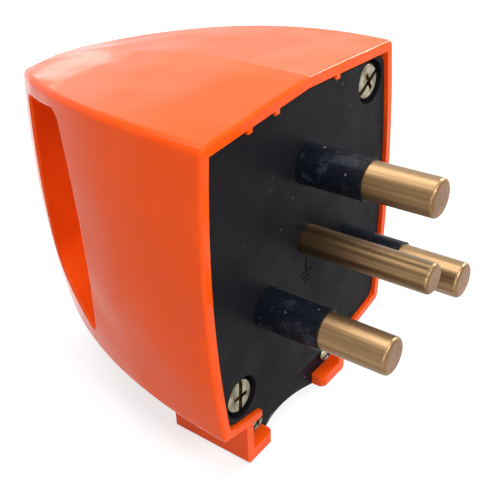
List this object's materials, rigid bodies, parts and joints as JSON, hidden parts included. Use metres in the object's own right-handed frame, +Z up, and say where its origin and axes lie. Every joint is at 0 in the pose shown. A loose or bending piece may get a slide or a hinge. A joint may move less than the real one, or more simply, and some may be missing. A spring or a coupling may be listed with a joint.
{
  "type": "industrial plug",
  "caption": "Angled industrial plug with round pins, a screwed front plate, a loop handle behind and a clamped cord exit below.",
  "frame": {"origin": "the front plate's face, on the earth pin's axis", "axes": "+X along the pins, out of the plate; +Z up, toward the housing's ridge; +Y across, to the left when looking along +X"},
  "size_m": [0.0789, 0.054, 0.0627],
  "materials": {
    "housing_orange": "moulded, semi-gloss",
    "plate_black": "fine moulded grain",
    "sleeve_black": "smooth, glossy",
    "pin_brass": "turned, lightly brushed",
    "screw_steel": "yellow passivated",
    "inner_grey": "moulded"
  },
  "bodies": {
    "root": {"housing": "housing_orange", "front_plate": "plate_black", "pin_retainer": "inner_grey", "cord_clamp": "plate_black", "earth_pin": "pin_brass", "phase_pin_top": "pin_brass", "phase_pin_right": "pin_brass", "phase_pin_left": "pin_brass", "pin_sleeve_top": "sleeve_black", "pin_sleeve_right": "sleeve_black", "pin_sleeve_left": "sleeve_black", "terminal_screw_earth": "screw_steel", "terminal_screw_top": "screw_steel", "terminal_screw_right": "screw_steel", "terminal_screw_left": "screw_steel", "plate_screw_upper": "screw_steel", "plate_screw_lower": "screw_steel", "plate_insert_upper": "pin_brass", "plate_insert_lower": "pin_brass", "retainer_screw_1": "screw_steel", "retainer_screw_2": "screw_steel", "retainer_screw_3": "screw_steel", "clamp_screw_left": "screw_steel", "clamp_screw_right": "screw_steel"}
  },
  "joints": []
}
